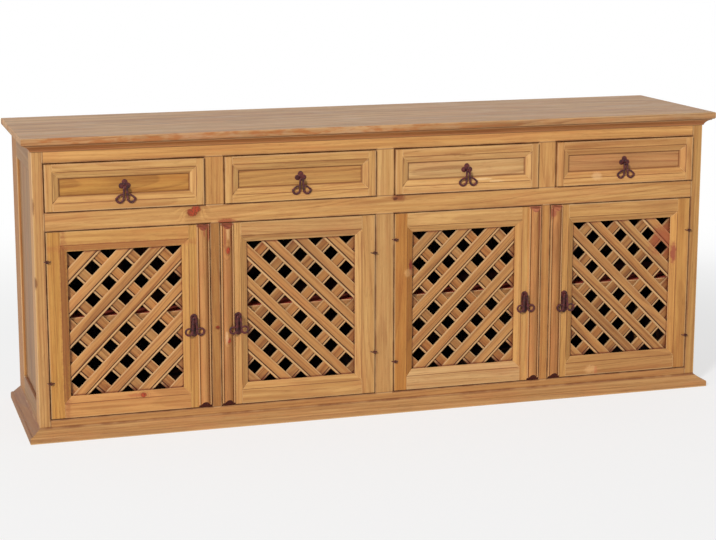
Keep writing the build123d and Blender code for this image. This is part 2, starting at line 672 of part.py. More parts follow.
def make_carcass():
    posts, rails, panel = left_side()
    shelf, cleats = shelf_and_cleats()
    shanks = [at_door(fixed_shank(height), n) for n in BAYS for height in HINGE_HEIGHTS[n]]
    corner_posts = [post for left in posts for post in both_ends(left)]
    door_uprights = [board(centred(0, MUNTIN_W), Y_FRAME, Z_DOORS)] + [
        board(centred(centre_stile_middle(side), CENTRE_STILE_W), Y_FRAME, Z_DOORS) for side in SIDES
    ]
    write("top_board", [top_board()])
    write("top_cove", mitred_moulding(cove_section(), COVE_OUT, Z_CARCASS[1] - COVE_H))
    write("plinth", mitred_moulding(plinth_section(), PLINTH_OUT, 0))
    write("corner_posts", [post - shanks for post in corner_posts])
    write("side_rails", [rail for left in rails for rail in both_ends(left)])
    write("side_panels", both_ends(panel))
    write("face_rails", face_rails())
    write("drawer_muntins", drawer_muntins())
    write("door_uprights", [upright - shanks for upright in door_uprights])
    write("hinge_eyes", [at_door(fixed_eye(height), n) for n in BAYS for height in HINGE_HEIGHTS[n]])
    write("back", back_rails_and_boards())
    write("floor_boards", floor_boards())
    write("partition", [partition()])
    write("shelves", both_ends(shelf))
    write("shelf_cleats", [cleat for left in cleats for cleat in both_ends(left)])
    write("drawer_runners", drawer_runners())


make_carcass()
for bay in BAYS:
    make_drawer(bay)
    for piece, solids in door_pieces(bay).items():
        write(f"door_{bay}_{piece}", [at_door(solid, bay) for solid in solids])
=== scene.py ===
import math
import random

import bmesh
import bpy
from mathutils import Matrix, Vector


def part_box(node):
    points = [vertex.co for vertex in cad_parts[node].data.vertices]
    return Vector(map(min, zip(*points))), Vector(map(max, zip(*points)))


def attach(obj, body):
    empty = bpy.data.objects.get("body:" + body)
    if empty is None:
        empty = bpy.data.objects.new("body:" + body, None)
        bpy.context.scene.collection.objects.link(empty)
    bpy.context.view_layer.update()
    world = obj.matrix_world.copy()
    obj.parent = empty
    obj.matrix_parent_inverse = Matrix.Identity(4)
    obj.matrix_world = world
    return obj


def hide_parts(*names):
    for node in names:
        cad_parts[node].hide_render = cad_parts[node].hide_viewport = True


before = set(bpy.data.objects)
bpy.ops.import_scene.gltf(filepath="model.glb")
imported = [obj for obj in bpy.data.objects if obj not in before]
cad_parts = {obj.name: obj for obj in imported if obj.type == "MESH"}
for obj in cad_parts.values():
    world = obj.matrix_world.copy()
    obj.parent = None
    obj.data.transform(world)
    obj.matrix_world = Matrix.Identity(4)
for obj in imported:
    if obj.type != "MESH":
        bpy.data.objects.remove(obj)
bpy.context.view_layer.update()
scene = bpy.context.scene


# ---- Ends of the carcass ----
# Each end is a frame of two posts and two rails, grooved around a recessed panel. It is planed
# knotty pine, glued up, with its edges eased by hand, and finished in a honey-coloured wax. The
# inside is painted nearly black with a blue tint, as painted shade.

HONEY_PALE = (219, 167, 101)
HONEY = (194, 138, 77)
HONEY_DARK = (138, 80, 38)
HONEY_RED = (196, 118, 70)
# pale colour of worn edges, also a painted highlight on edges and beads
PALE_WEAR_AND_HIGHLIGHT = (240, 204, 150)
# old wax, and painted shade where it darkens gaps, inward corners and quirks
OLD_WAX_AND_SHADE = (116, 60, 28)
KNOT_CORE = (178, 68, 36)
KNOT_RIM = (116, 40, 20)
BOARD_EASE = 0.0013  # radius of the eased edges, in metres
LINE_EASE = 0.0019  # half the width of a scratched line
LONG_CORNER = 0.03  # a shorter inward corner is inside a hole and gets neither wax nor painted shade
FLAT_TURN = 0.5  # degrees: faces that turn less are one flat face
INWARD_TURN = -40  # degrees: an inward corner turns further than this
LINE_TURNS = (20, 30)  # degrees, least and most, where a flat meets a bevel
EDGE_TURNS = (30, 170)  # degrees, least and most, at an outward edge
SHARP_TURN = 40  # degrees: an edge that turns further is shaded sharp
RING_SPACING = 0.0075  # from one growth ring to the next
RING_UNEVEN = 2.4  # how uneven the spacing is, in rings
RING_DRIFT = 0.026  # how far the rings wander along a board
KNOT_BEND = 0.016  # how far they bend around a knot
MARKS_TO_Y = -0.17  # marks on the front reach back to here
HEART_ASIDE = 0.06  # furthest that the heart of the tree is to a board's side
HEART_AWAY = (0.03, 0.12)  # how far in front of the board or behind it
HEART_LEAN = (0.03, 0.02)  # most lean through and across the board, in radians
OWN_TONE = (-0.07, 0.05, 0.6)  # darkest, lightest and reddest of a board's own tone
RED_LOSS = (0.1, 0.2)  # parts of green and blue that a board of redness 1 loses


def linear(colour):
    """A colour given in display values of 0 to 255, as a shader wants it."""
    parts = [part / 255 for part in colour]
    return tuple(p / 12.92 if p <= 0.04045 else ((p + 0.055) / 1.055) ** 2.4 for p in parts) + (1.0,)


class Signal:
    """A value, colour or vector inside a finish. Arithmetic on values adds their Math nodes."""

    def __init__(self, finish, socket):
        self.finish = finish
        self.socket = socket

    def maths(self, operation, *others):
        inputs = dict(enumerate((self, *others)))
        return self.finish.add("ShaderNodeMath", {"operation": operation}, inputs)

    def __add__(self, other):
        return self.maths("ADD", other)

    def __sub__(self, other):
        return self.maths("SUBTRACT", other)

    def __rsub__(self, other):
        return self * -1 + other

    def __mul__(self, other):
        return self.maths("MULTIPLY", other)

    def __truediv__(self, other):
        return self.maths("DIVIDE", other)

    def __mod__(self, other):
        return self.maths("FLOORED_MODULO", other)

    def __abs__(self):
        return self.maths("ABSOLUTE")

    __radd__ = __add__

    def least(self, other):
        return self.maths("MINIMUM", other)

    def most(self, other):
        return self.maths("MAXIMUM", other)

    def rise(self, low, high):
        """Goes smoothly from 0 to 1 while the value goes from low to high."""
        limits = {"Value": self, "From Min": low, "From Max": high}
        return self.finish.add("ShaderNodeMapRange", {"interpolation_type": "SMOOTHSTEP"}, limits)


class Finish:
    """The nodes of a material, or of the world around the object."""

    def __init__(self, owner):
        owner.use_nodes = True
        self.owner = owner
        self.tree = owner.node_tree
        output = next(node for node in self.tree.nodes if node.type.startswith("OUTPUT"))
        self.surface = output.inputs["Surface"]
        self.shader = self.surface.links[0].from_node

    def add(self, kind, settings, inputs, output=0):
        """Adds one node: its settings first, then the values or signals of its sockets."""
        node = self.tree.nodes.new(kind)
        for name, value in settings.items():
            setattr(node, name, value)
        for name, value in inputs.items():
            self.connect(node.inputs[name], value)
        return Signal(self, node.outputs[output])

    def connect(self, socket, value):
        if isinstance(value, Signal):
            self.tree.links.new(value.socket, socket)
        else:
            socket.default_value = value

    def shade(self, **inputs):
        """Sets the shader's own sockets: Base_Color stands for Base Color."""
        for name, value in inputs.items():
            self.connect(self.shader.inputs[name.replace("_", " ")], value)

    def attribute(self, name, output):
        return self.add("ShaderNodeAttribute", {"attribute_name": name}, {}, output)

    def place(self):
        return self.add("ShaderNodeTexCoord", {}, {}, "Object")

    def axis(self, vector, name):
        return self.add("ShaderNodeSeparateXYZ", {}, {0: vector}, name)

    def mix(self, factor, first, second, blend="MIX"):
        settings = {"data_type": "RGBA", "blend_type": blend}
        return self.add("ShaderNodeMix", settings, {0: factor, 6: first, 7: second}, 2)

    def stretch(self, vector, scale):
        return self.add("ShaderNodeVectorMath", {"operation": "MULTIPLY"}, {0: vector, 1: scale})

    def length(self, vector):
        return self.add("ShaderNodeVectorMath", {"operation": "LENGTH"}, {0: vector}, "Value")

    def noise(self, vector, scale, detail=2.0, roughness=0.5):
        """Noise with as many waves to the metre along each axis as the scale says."""
        inputs = {
            "Vector": self.stretch(vector, scale),
            "Scale": 1.0,
            "Detail": detail,
            "Roughness": roughness,
        }
        return self.add("ShaderNodeTexNoise", {}, inputs)

    def bump(self, height, distance, strength=1.0):
        inputs = {"Height": height, "Distance": distance, "Strength": strength}
        return self.add("ShaderNodeBump", {}, inputs)


def away_from(finish, place, spot):
    """How far a point of the front is from a spot, where 1 is the spot's edge.

    A spot is given by its middle in X and Z and its half width and half height.
    """
    x, z, half_width, half_height = spot
    offset = finish.add("ShaderNodeVectorMath", {"operation": "SUBTRACT"}, {0: place, 1: (x, 0, z)})
    return finish.length(finish.stretch(offset, (1 / half_width, 0, 1 / half_height)))


def mark(spot, colour, strength, deepest=MARKS_TO_Y):
    """A soft-edged spot of colour on the front, down to the deepest place in Y. Most are staining; some
    calls are painted shade, and say so.
    """
    def overlay(finish, place):
        front = 1 - finish.axis(place, "Y").rise(deepest - 0.01, deepest)
        ragged = finish.noise(place, (110, 110, 110), 3, 0.7) - 0.5
        edge = away_from(finish, place, spot) + ragged * 1.5
        return (1 - edge.rise(0.5, 1.35)) * front * strength, colour
    return overlay


def inside(finish, direction, far_only=False):
    """How far a point is inside its board's nearer side, or inside the far one.

    direction is "across" or "through" the board.
    """
    reach = finish.attribute(direction, "Vector")
    from_middle = finish.axis(reach, "X")
    return finish.axis(reach, "Y") - (from_middle if far_only else abs(from_middle))


def stripe(at, fade, strength, colour, far_only=False):
    """A line along every board, so far in from its sides, or only from the far side."""
    def overlay(finish, place):
        away = abs(inside(finish, "across", far_only) - at)
        return (1 - away.rise(*fade)) * strength, colour
    return overlay


def pine(name, pale=HONEY_PALE, mid=HONEY, dark=HONEY_DARK, knots=(), overlays=(), contrast=0.36,
         roughness=0.46, edge=PALE_WEAR_AND_HIGHLIGHT):
    """Waxed pine. Its rings, streaks and fibres follow each board's own grain.

    knots are spots on the front. Each of the overlays (staining, wax, painted shade and painted highlights)
    takes the finish and its place signal, and gives a mask and a colour.
    """
    finish = Finish(bpy.data.materials.new(name))
    place = finish.place()
    grain = finish.attribute("grain", "Vector")

    # growth rings around the heart of the tree, which bend around knots
    drift = finish.noise(grain, (1.7, 8, 8)) - 0.5
    heart = finish.length(finish.stretch(grain, (0, 1, 1))) + drift * RING_DRIFT
    near = None
    for knot in knots:
        away = away_from(finish, place, knot)
        near = away if near is None else near.least(away)
    if knots:
        near = near + (finish.noise(place, (160, 160, 160)) - 0.5) * 0.8
        heart = heart + (1 - near.rise(0.4, 3.6)) * KNOT_BEND
    uneven = finish.add("ShaderNodeTexNoise", {"noise_dimensions": "1D"}, {"W": heart * 60, "Scale": 1.0})
    ring = (heart / RING_SPACING + uneven * RING_UNEVEN) % 1.0
    late = ring.rise(0.35, 0.88) * (1 - ring.rise(0.92, 1.0))

    # the wood's own colour, with streaks, clouds, rings and fibres
    streak = finish.noise(grain, (1.3, 80, 80), 5, 0.7)
    cloud = finish.noise(grain, (3.2, 15, 15), 3, 0.6)
    hue = finish.noise(grain, (6, 24, 24), 4, 0.7)
    fibre = finish.noise(grain, (20, 260, 260), 3, 0.8)
    colour = finish.mix(streak.rise(0.3, 0.7), linear(pale), linear(mid))
    colour = finish.mix(hue.rise(0.42, 0.72) * 0.3, colour, linear(HONEY_RED))
    colour = finish.mix(cloud.rise(0.5, 0.8) * 0.35, colour, linear(dark))
    lines = late * contrast * (0.35 + streak.rise(0.3, 0.72) * 0.65)
    colour = finish.mix(lines + fibre.rise(0.5, 0.75) * 0.34, colour, linear(dark))

    # knots, darkest at the rim
    if knots:
        colour = finish.mix((1 - near.rise(0.9, 1.9)) * 0.4, colour, linear(dark))
        blot = finish.noise(place, (260, 260, 260), 2)
        colour = finish.mix((1 - near.rise(0.85, 1.15)) * 0.85, colour, linear(KNOT_RIM))
        core = (1 - near.rise(0.75, 1.05)) * blot.rise(0.38, 0.56)
        colour = finish.mix(core, colour, linear(KNOT_CORE))

    # the board's own tone, edges paled by wear and as a painted highlight,
    # wax and painted shade in inward corners and scratched lines, and the overlays
    colour = finish.mix(1.0, colour, finish.attribute("tint", "Color"), "MULTIPLY")
    wear_and_highlight, wax_and_shade = finish.attribute("wear_and_highlight", "Fac"), finish.attribute("wax_and_shade", "Fac")
    from_edge = inside(finish, "across").most(inside(finish, "through"))
    edge_wear_and_highlight = wear_and_highlight * 0.4 + (1 - from_edge.rise(0.0008, 0.0045)) * 0.25
    colour = finish.mix(edge_wear_and_highlight * (0.5 + streak.rise(0.35, 0.6)), colour, linear(edge))
    colour = finish.mix(wax_and_shade.rise(0.2, 0.7) * 0.72, colour, linear(OLD_WAX_AND_SHADE))
    for overlay in overlays:
        mask, overlay_colour = overlay(finish, place)
        colour = finish.mix(mask, colour, linear(overlay_colour))
    finish.shade(
        Base_Color=colour,
        Roughness=roughness + cloud * 0.12 - late * 0.05,
        Normal=finish.bump(late * 0.5 + fibre * 0.7 + streak * 0.5 - wax_and_shade * 1.6, 0.0005, 0.75),
        Specular_IOR_Level=0.32,
    )
    return finish


def solids(node):
    """The closed solids of a CAD node. They follow each other in its mesh, triangle by triangle."""
    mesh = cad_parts[node].data
    points = [tuple(round(part, 6) for part in vertex.co) for vertex in mesh.vertices]
    found, unmatched = [[]], set()
    for polygon in mesh.polygons:
        corners = [points[index] for index in polygon.vertices]
        found[-1].append(corners)
        for edge in zip(corners, corners[1:] + corners[:1]):
            if edge[::-1] in unmatched:
                unmatched.remove(edge[::-1])
            else:
                unmatched.add(edge)
        if not unmatched:
            found.append([])
    return found[:-1]


def whole_faces(triangles):
    """A solid with its flat faces whole, and its inward corners marked for wax and painted shade."""
    shape = bmesh.new()
    corner = {}
    for triangle in triangles:
        for point in triangle:
            if point not in corner:
                corner[point] = shape.verts.new(point)
        shape.faces.new([corner[point] for point in triangle])
    flat = math.radians(FLAT_TURN)
    bmesh.ops.dissolve_limit(shape, angle_limit=flat, verts=shape.verts, edges=shape.edges)
    wax_and_shade = shape.verts.layers.float.new("wax_and_shade")
    for edge in shape.edges:
        inward = edge.is_manifold and math.degrees(edge.calc_face_angle_signed()) < INWARD_TURN
        if inward and edge.calc_length() > LONG_CORNER:
            for vertex in edge.verts:
                vertex[wax_and_shade] = 1.0
    return shape


def rounded(shape, width, least_turn, most_turn):
    """Rounds the outward edges that turn by so many degrees, and gives the new faces and points."""
    edges = [edge for edge in shape.edges if edge.is_manifold
             and least_turn < math.degrees(edge.calc_face_angle_signed()) < most_turn]
    if not edges:
        return set(), []
    made = bmesh.ops.bevel(shape, geom=edges, offset=width, offset_type="OFFSET", segments=2, profile=0.5,
                           affect="EDGES", clamp_overlap=True)
    return set(made["faces"]), made["verts"]


def scratch_lines(shape):
    """Marks the line where a flat meets a bevel, which is scratched in and holds wax; its dark line is also
    the painted shade of the groove.
    """
    wax_and_shade = shape.verts.layers.float["wax_and_shade"]
    faces, points = rounded(shape, LINE_EASE, *LINE_TURNS)
    for vertex in points:
        scratched = sum(face in faces for face in vertex.link_faces)
        vertex[wax_and_shade] = float(scratched > len(vertex.link_faces) / 2)


def run_of_board(shape, along=None):
    """A board's middle, and its directions along the fibres, across them and through the board."""
    lows = Vector(min(vertex.co[i] for vertex in shape.verts) for i in range(3))
    highs = Vector(max(vertex.co[i] for vertex in shape.verts) for i in range(3))
    middle = (lows + highs) / 2
    if along:
        return middle, along, Vector((0, 1, 0)).cross(along), Vector((0, 1, 0))
    thin, wide, long = sorted(range(3), key=lambda i: highs[i] - lows[i])
    return middle, *(Vector(float(i == axis) for i in range(3)) for axis in (long, wide, thin))


def grain_frame(draw, middle, along, across, through):
    """A matrix from a board's points to its grain: along the fibres, across the board and through.

    The grain is counted from the heart of the tree, which isn't quite parallel to the board.
    """
    turn = Matrix((along, across, through)).to_4x4()
    start, aside = draw.uniform(-5, 5), draw.uniform(-HEART_ASIDE, HEART_ASIDE)
    away = draw.choice((-1, 1)) * draw.uniform(*HEART_AWAY)
    most_through, most_across = HEART_LEAN
    lean_through = Matrix.Rotation(draw.uniform(-most_through, most_through), 4, "Y")
    lean_across = Matrix.Rotation(draw.uniform(-most_across, most_across), 4, "Z")
    heart = Matrix.Translation((start, aside, away)) @ lean_through @ lean_across
    return heart @ turn @ Matrix.Translation(-middle)


def make_object(name, body, slot, finishes, mesh, *replaced):
    """Puts a mesh on its body with its finishes, in place of the CAD nodes it stands for."""
    for finish in finishes:
        mesh.materials.append(finish.owner)
    mesh.shade_smooth()
    mesh.set_sharp_from_angle(angle=math.radians(SHARP_TURN))
    thing = bpy.data.objects.new(name, mesh)
    scene.collection.objects.link(thing)
    normals = thing.modifiers.new("even_normals", "WEIGHTED_NORMAL")
    normals.keep_sharp = True
    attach(thing, body)
    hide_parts(*replaced)


def chance_tone(draw, darkest, lightest, reddest):
    """A board's own tone: the parts of red, green and blue that it keeps."""
    light, red = 1 + draw.uniform(darkest, lightest), draw.uniform(0, reddest)
    return light, *(light * (1 - loss * red) for loss in RED_LOSS)


def boards(node, body, finish, slot="waxed_pine", ease=BOARD_EASE, tones=None, along=None, lines=False,
           other=None, is_other=None):
    """Every board of a CAD node with eased edges, its own run of grain and its own tone.

    tones gives the red, green and blue that each board keeps.
    along gives the way the fibres run, from a board's middle, where it isn't the board's length.
    lines says that the board's bevels start at a scratched line.
    other is the finish of the faces for which is_other says so, from their middle and direction.
    """
    points, faces, kinds = [], [], []
    grain, tint, wear_and_highlight, wax_and_shade = [], [], [], []
    spans = {"across": [], "through": []}
    for number, triangles in enumerate(solids(node)):
        draw = random.Random(f"{node} {number}")
        shape = whole_faces(triangles)
        if lines:
            scratch_lines(shape)
        round_faces, round_points = rounded(shape, ease, *EDGE_TURNS)
        # the ridge of each eased edge takes wear and a painted highlight
        ridge = {vertex for vertex in round_points
                 if all(face in round_faces for face in vertex.link_faces)}
        middle = sum((vertex.co for vertex in shape.verts), Vector()) / len(shape.verts)
        run = run_of_board(shape, along(middle) if along else None)
        to_grain = grain_frame(draw, *run)
        for name, direction in (("across", run[2]), ("through", run[3])):
            reach = [direction.dot(vertex.co) for vertex in shape.verts]
            half = (max(reach) - min(reach)) / 2
            for value in reach:
                spans[name].extend((value - min(reach) - half, half, 0))
        tone = tones[number % len(tones)] if tones else chance_tone(draw, *OWN_TONE)
        start = len(points)
        layer = shape.verts.layers.float["wax_and_shade"]
        shape.verts.index_update()
        for vertex in shape.verts:
            points.append(vertex.co.copy())
            grain.extend(to_grain @ vertex.co)
            tint.extend((*tone, 1))
            wear_and_highlight.append(float(vertex in ridge))
            wax_and_shade.append(vertex[layer])
        shape.normal_update()
        for face in shape.faces:
            faces.append([start + vertex.index for vertex in face.verts])
            kinds.append(int(bool(is_other) and is_other(face.calc_center_median(), face.normal)))
        shape.free()
    mesh = bpy.data.meshes.new(node)
    mesh.from_pydata(points, [], faces)
    layers = (
        ("FLOAT_VECTOR", "vector", {"grain": grain, **spans}),
        ("FLOAT_COLOR", "color", {"tint": tint}),
        ("FLOAT", "value", {"wear_and_highlight": wear_and_highlight, "wax_and_shade": wax_and_shade}),
    )
    for kind, field, named in layers:
        for name, values in named.items():
            mesh.attributes.new(name, kind, "POINT").data.foreach_set(field, values)
    make_object(f"{node}_wood", body, slot, [finish, other] if other else [finish], mesh, node)
    mesh.polygons.foreach_set("material_index", kinds)


def middle_and_half(node, gap=0.0):
    """The middle of a CAD node and half its size, with a gap all around it."""
    low, high = (Vector(corner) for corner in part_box(node))
    return (low + high) / 2, (high - low) / 2 + Vector((gap, gap, gap))


FRONT_GAP = 0.002  # around drawers and doors
DRAWER_MIDDLE, DRAWER_HALF = middle_and_half("drawer_1_front_frame", FRONT_GAP)
DRAWERS_APART = middle_and_half("drawer_2_front_frame")[0].x - DRAWER_MIDDLE.x
DOOR_MIDDLE, DOOR_HALF = middle_and_half("door_1_frame", FRONT_GAP)
DOOR_FROM_PAIR = (middle_and_half("door_2_frame")[0].x - DOOR_MIDDLE.x) / 2  # to the pair's middle
DOOR_PAIR_X = -DOOR_MIDDLE.x - DOOR_FROM_PAIR  # middle of each pair of doors, left and right
POST_INSIDE_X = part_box("face_rails")[1][0]
PLINTH_TOP_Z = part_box("plinth")[1][2]
END_PANEL_MIDDLE = (-0.025, 0.4095)  # in Y and Z
END_PANEL_HALF = (0.128, 0.3155)
END_X = 0.9  # the pieces of the ends are further out than this
FACE_FRAME_BACK_Y = -0.18
FACING = 0.5  # least part of a direction that counts as facing that way


def from_openings(finish, place):
    """How far a point of the front is outside drawer and door openings, in X and Z."""
    x, z = abs(finish.axis(place, "X")), finish.axis(place, "Z")
    drawer_x = abs(x % DRAWERS_APART - DRAWERS_APART / 2) - DRAWER_HALF.x
    drawer_z = abs(z - DRAWER_MIDDLE.z) - DRAWER_HALF.z
    door_x = abs(abs(x - DOOR_PAIR_X) - DOOR_FROM_PAIR) - DOOR_HALF.x
    door_z = abs(z - DOOR_MIDDLE.z) - DOOR_HALF.z
    return drawer_x, drawer_z, door_x, door_z


def wax_and_shade_in_gaps(finish, place):
    """Old wax and painted shade along the gaps around drawers and doors, and along the top of the plinth.
    """
    drawer_x, drawer_z, door_x, door_z = from_openings(finish, place)
    above_plinth = finish.axis(place, "Z") - PLINTH_TOP_Z
    away = abs(drawer_x.most(drawer_z)).least(abs(door_x.most(door_z))).least(abs(above_plinth))
    patchy = 0.4 + finish.noise(place, (18, 18, 18), 3).rise(0.35, 0.65) * 0.4
    return (1 - away.rise(0.0010, 0.0052)) * patchy, OLD_WAX_AND_SHADE


def wax_in_joints(finish, place):
    """Old wax where the rails of the face frame meet its uprights and the posts."""
    _, drawer_z, _, door_z = from_openings(finish, place)
    past_rails = abs(finish.axis(place, "X")) - POST_INSIDE_X
    away = abs(drawer_z).least(abs(door_z)).most(past_rails).least(abs(past_rails))
    return (1 - away.rise(0.0006, 0.0024)) * 0.55, OLD_WAX_AND_SHADE


def wax_and_shade_around_end_panel(finish, place):
    """Old wax and painted shade in the corner between a recessed end panel and its rails and posts."""
    y = abs(finish.axis(place, "Y") - END_PANEL_MIDDLE[0]) - END_PANEL_HALF[0]
    z = abs(finish.axis(place, "Z") - END_PANEL_MIDDLE[1]) - END_PANEL_HALF[1]
    return (1 - abs(y.most(z)).rise(0.0015, 0.0060)) * 0.7, OLD_WAX_AND_SHADE


def faces_inward(middle, direction):
    """Says whether a face of either end looks into the cabinet."""
    inward = -direction.x if middle.x > 0 else direction.x
    return inward > FACING and abs(middle.x) > END_X and middle.y > FACE_FRAME_BACK_Y


frame_pine = pine(
    "frame_pine",
    knots=[
        (-0.547, 0.603, 0.015, 0.011),
        (-0.537, 0.612, 0.0125, 0.0105),
        (-0.481, 0.279, 0.0055, 0.0045),
    ],
    overlays=[
        wax_and_shade_in_gaps,
        wax_in_joints,
        wax_and_shade_around_end_panel,
        mark((0.041, 0.617, 0.018, 0.014), (136, 74, 40), 0.85),
        mark((0.031, 0.612, 0.007, 0.005), (84, 36, 20), 0.8),
        mark((-0.4535, 0.5755, 0.026, 0.006), (150, 58, 34), 0.75),
        mark((-0.973, 0.433, 0.0045, 0.016), (108, 58, 32), 0.7, deepest=-0.2),
        mark((-0.9735, 0.64, 0.0035, 0.022), (120, 66, 38), 0.6, deepest=-0.2),
    ],
)
side_pine = pine("side_pine", (192, 154, 108), (166, 126, 80), (118, 76, 44), contrast=0.4,
                 overlays=[wax_and_shade_around_end_panel])
# painted shade: nearly black with a blue tint, for the inside and the inner faces
shade_black_pine = pine("shade_black_pine", (22, 21, 32), (15, 14, 23), (8, 8, 13), contrast=0.4, roughness=0.6,
                  edge=(40, 32, 34))
POST_TONES = (  # left front, right front, left rear and right rear
    (0.87, 0.90, 0.96), (0.80, 0.79, 0.74), (0.66, 0.58, 0.52), (0.92, 0.88, 0.84),
)
SIDE_TONES = ((0.74, 0.70, 0.70),)
boards("corner_posts", "root", frame_pine, tones=POST_TONES, other=shade_black_pine, is_other=faces_inward)
for node in ("side_rails", "side_panels"):
    boards(node, "root", side_pine, tones=SIDE_TONES, other=shade_black_pine, is_other=faces_inward)


# ---- Face frame ----
# Three rails run from post to post. Short uprights part the drawers, and longer ones part the
# doors. Like the posts they are waxed pine, halved and pinned together from behind.

# the top rail is lighter: its own tone, and painted light against the shade under the top's overhang
RAIL_TONES = ((0.82, 0.79, 0.80), (0.95, 0.97, 0.98), (1.04, 1.05, 1.03))  # from the bottom up
MUNTIN_TONES = ((0.84, 0.79, 0.72), (0.96, 1.04, 1.14), (0.95, 0.95, 0.95))  # left to right
# the left stile is darker: its own tone, and painted shade between the half rounds
UPRIGHT_TONES = (  # middle post, left stile and right stile
    (0.84, 0.87, 0.93), (0.64, 0.56, 0.46), (0.80, 0.72, 0.62),
)
boards("face_rails", "root", frame_pine, tones=RAIL_TONES)
boards("drawer_muntins", "root", frame_pine, tones=MUNTIN_TONES)
boards("door_uprights", "root", frame_pine, tones=UPRIGHT_TONES)


# ---- Plinth and hollow moulding ----
# The plinth is a machined pine moulding, mitred and nailed around the front and both ends. The
# hollow moulding under the top is run from redder wood and is mitred in the same way.

COVE_LOW_Z, COVE_HIGH_Z = (corner[2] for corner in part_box("top_cove"))
PLINTH_TONES = ((0.97, 1.01, 1.03), (0.52, 0.46, 0.44), (0.8, 0.76, 0.72))  # front, left end, right end
PLINTH_EASE = 0.0009
COVE_EASE = 0.0007


def wax_and_shade_along_cove(finish, place):
    """Old wax and painted shade along the upper and lower edges of the hollow moulding."""
    z = finish.axis(place, "Z")
    away = abs(z - COVE_LOW_Z).least(abs(z - COVE_HIGH_Z))
    return (1 - away.rise(0.0006, 0.0032)) * 0.55, OLD_WAX_AND_SHADE


moulding_pine = pine("moulding_pine", (204, 154, 98), (180, 128, 76), (126, 76, 42), contrast=0.4,
                     overlays=[wax_and_shade_in_gaps])
cove_pine = pine("cove_pine", (192, 131, 75), (171, 106, 55), (124, 63, 28), contrast=0.5,
                 overlays=[wax_and_shade_along_cove])
boards("plinth", "root", moulding_pine, ease=PLINTH_EASE, tones=PLINTH_TONES)
boards("top_cove", "root", cove_pine, ease=COVE_EASE)


# ---- Top board ----
# One wide board with a rounded nose overhangs the front and both ends. On the flat its wax has
# dulled, with greyed patches that are also a painted sheen, and reddish patches along the grain.
# The handled nose is darker.

NOSE_FRONT_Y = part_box("top_board")[0][1]
NOSE_DEPTH = 0.008  # how far behind its front the nose passes into the flat
TOP_EASE = 0.0006
TOP_TONES = ((0.97, 0.98, 0.96),)
GREYED_WAX_AND_SHEEN = (198, 172, 144)
RED_WAX = (146, 92, 54)


def patches(scale, limits, colour):
    """Long soft patches, where the noise of a scale rises between the limits."""
    def overlay(finish, place):
        return finish.noise(place, scale, 4, 0.65).rise(*limits) * 0.34, colour
    return overlay


def wax_on_nose(finish, place):
    """The handled nose has darker, redder wax than the flat, mostly on the left."""
    front = 1 - finish.axis(place, "Y").rise(NOSE_FRONT_Y, NOSE_FRONT_Y + NOSE_DEPTH)
    left = 1 - finish.axis(place, "X").rise(-0.1, 0.8) * 0.9
    patchy = 0.22 + finish.noise(place, (20, 70, 70), 3, 0.6).rise(0.42, 0.62) * 0.5
    return front * left * patchy, (168, 92, 34)


top_pine = pine(
    "top_pine", (212, 168, 118), (166, 121, 76), (116, 70, 38), contrast=0.6, roughness=0.44,
    overlays=[
        # dulled wax, and a painted sheen
        patches((7, 22, 22), (0.50, 0.70), GREYED_WAX_AND_SHEEN),
        patches((4, 17, 30), (0.52, 0.74), RED_WAX),
        wax_on_nose,
        wax_and_shade_along_cove,
    ],
)
boards("top_board", "root", top_pine, slot="aged_top_pine", ease=TOP_EASE, tones=TOP_TONES)


# ---- Inside of the cabinet ----
# Plain boards, painted nearly black with a blue tint as painted shade, so that little shows through
# the lattice: the floor, the middle partition, the cleats, the drawer runners, and planks nailed on
# behind, which are bare pine outside. The shelves are a bright red-brown near the front, painted
# light, and turn black further in, painted shade; their front edges are left bare.

BLACK_FROM_Y = (-0.165, -0.10)  # where the shelves turn from red painted light to black painted shade
DUST_AND_SHADE = (120, 82, 50)  # dust and painted shade in the joints between the planks


def painted_shade_further_in(finish, place):
    """Painted shade: the shelves turn black behind their front."""
    return finish.axis(place, "Y").rise(*BLACK_FROM_Y) * 0.92, (20, 14, 16)


def faces_front(middle, direction):
    return direction.y < -FACING


def faces_back(middle, direction):
    return direction.y > FACING


# painted light: a bright red-brown where light through the lattice falls on the shelves' front
shelf_painted_light_and_shade = pine("shelf_painted_light_and_shade", (214, 96, 76), (190, 78, 62), (130, 46, 38), roughness=0.5,
                  edge=(214, 128, 100), overlays=[painted_shade_further_in])
shelf_edge_pine = pine("shelf_edge_pine", (200, 146, 92), (170, 118, 70), (120, 74, 40))
bare_pine = pine("bare_pine", (222, 184, 132), (204, 160, 106), (160, 112, 66), roughness=0.62)
back_pine = pine("back_pine", (214, 174, 122), (194, 150, 98), (148, 102, 60), contrast=0.5, roughness=0.62,
                 overlays=[stripe(0, (0.0008, 0.0040), 0.6, DUST_AND_SHADE)])
for node in ("floor_boards", "partition", "shelf_cleats", "drawer_runners"):
    boards(node, "root", shade_black_pine, slot="inner_pine")
boards("back", "root", shade_black_pine, slot="inner_pine", other=back_pine, is_other=faces_back)
boards("shelves", "root", shelf_painted_light_and_shade, slot="inner_pine", other=shelf_edge_pine, is_other=faces_front)


# ---- Drawers ----
# A bevelled frame holds a thin panel. Behind it, grooved sides and a back of plain unwaxed pine
# are nailed up around a bottom board.

PANEL_HALF = (0.175, 0.0235)  # half the width and height of the panel that shows
BEVEL_EASE = 0.0014  # radius of the eased edges of bevelled frames
FRAME_LIGHT = (1.0, 0.97, 1.03, 0.96)  # how light the four pieces of a drawer's frame are
DRAWER_TONES = {  # of each drawer's frame and panel
    1: ((0.96, 1.01, 1.04), (0.91, 0.85, 0.58)),
    2: ((0.96, 1.01, 1.03), (0.94, 0.93, 0.87)),
    3: ((1.01, 1.07, 1.16), (1.12, 1.30, 1.65)),
    4: ((0.98, 0.98, 1.0), (0.96, 0.93, 1.08)),
}


